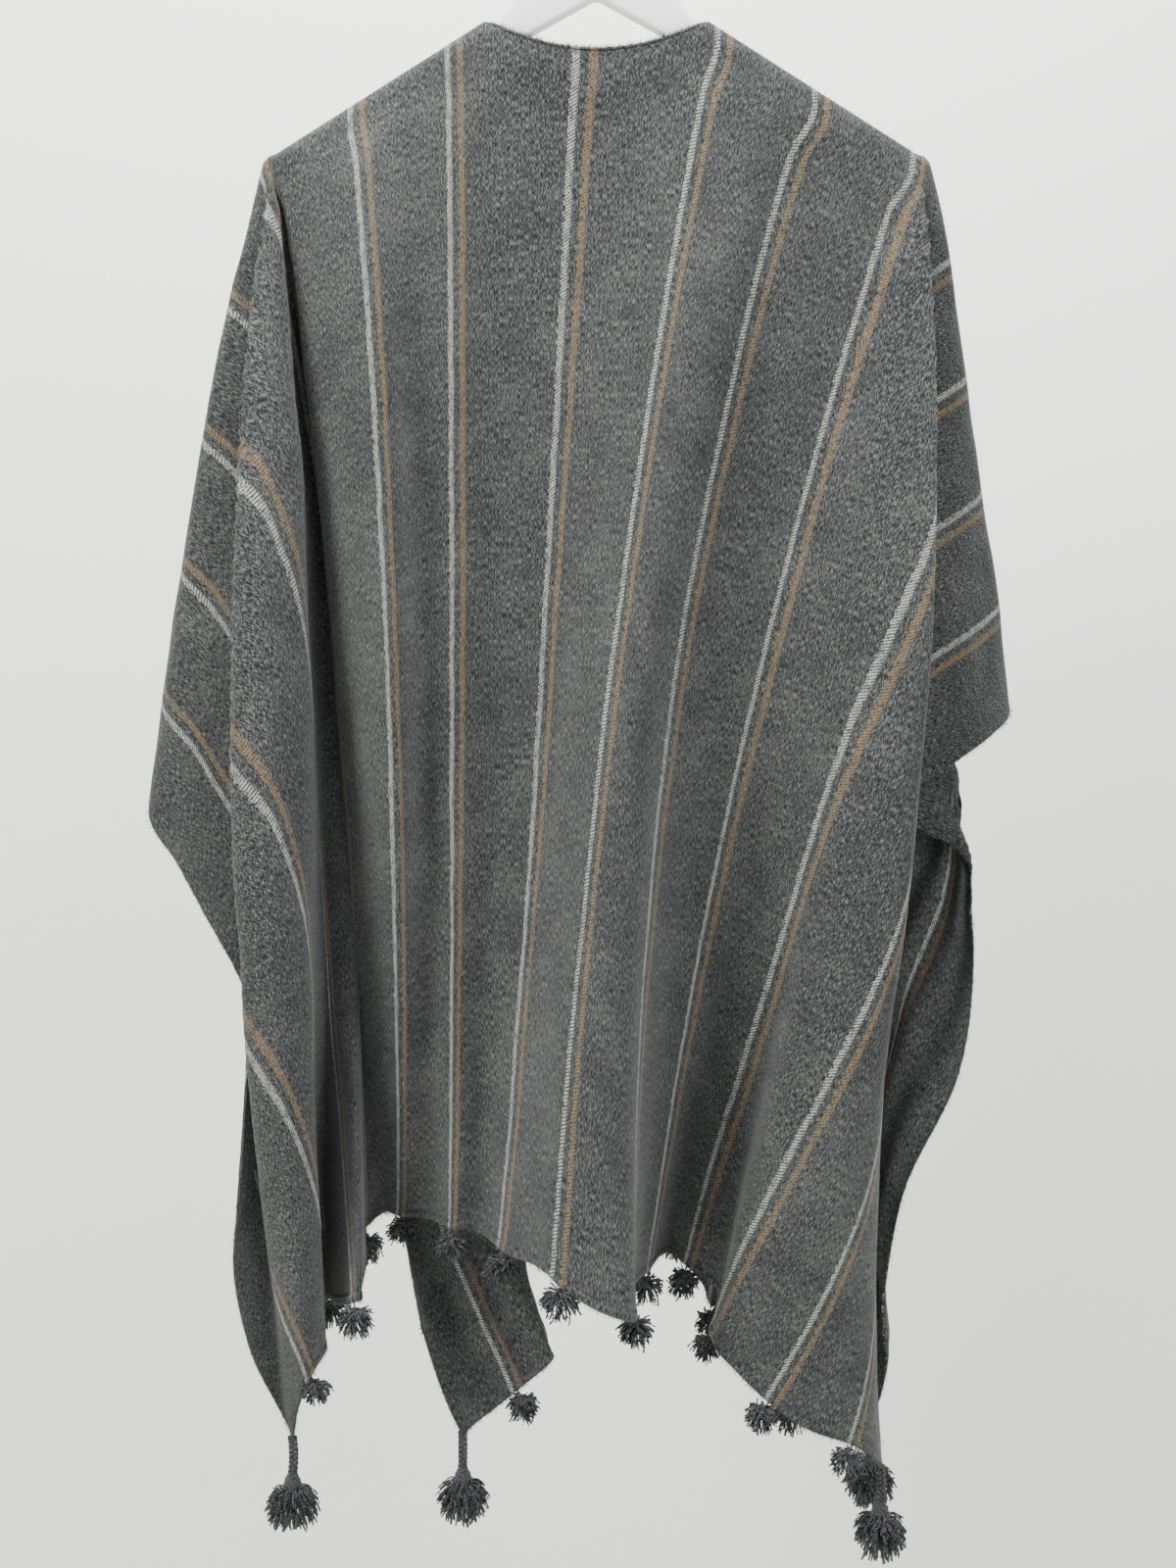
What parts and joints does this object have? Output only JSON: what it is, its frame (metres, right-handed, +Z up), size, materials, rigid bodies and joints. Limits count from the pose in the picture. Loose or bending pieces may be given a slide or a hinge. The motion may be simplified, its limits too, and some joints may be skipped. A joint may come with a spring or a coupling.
{
  "type": "cape on hanger",
  "caption": "Open-front wrap cape of striped brushed wool, hung in deep folds over a broad hanger, with pompoms along both hems and a tassel at each corner.",
  "frame": {"origin": "where the hanger's hook rests on its rail, under the top of the hook's arch", "axes": "+Z up along the hanging cape, +X to the right of a viewer who faces the cape's back, +Y from the back panel towards the open fronts"},
  "size_m": [0.6215, 0.2706, 1.2181],
  "materials": {
    "wool": "brushed woollen twill in charcoal grey, with narrow pairs of white and tan stripes",
    "yarn": "cut wool yarn, charcoal grey",
    "hanger_plastic": "smooth white moulded plastic",
    "hook_steel": "plain bright steel wire"
  },
  "bodies": {
    "root": {"back_panel": "wool", "front_panel_left": "wool", "front_panel_right": "wool", "pom_back_01": "yarn", "pom_back_02": "yarn", "pom_back_03": "yarn", "pom_back_04": "yarn", "pom_back_05": "yarn", "pom_back_06": "yarn", "pom_back_07": "yarn", "pom_back_08": "yarn", "pom_back_09": "yarn", "pom_back_10": "yarn", "pom_back_11": "yarn", "pom_back_12": "yarn", "pom_back_13": "yarn", "pom_back_14": "yarn", "pom_back_15": "yarn", "pom_left_01": "yarn", "pom_left_02": "yarn", "pom_left_03": "yarn", "pom_left_04": "yarn", "pom_left_05": "yarn", "pom_left_06": "yarn", "pom_left_07": "yarn", "pom_right_09": "yarn", "pom_right_10": "yarn", "pom_right_11": "yarn", "pom_right_12": "yarn", "pom_right_13": "yarn", "pom_right_14": "yarn", "pom_right_15": "yarn", "tassel_back_left": "yarn", "tassel_back_right": "yarn", "tassel_front_left": "yarn", "tassel_front_right": "yarn", "hanger": "hanger_plastic", "hanger_hook": "hook_steel"}
  },
  "joints": []
}
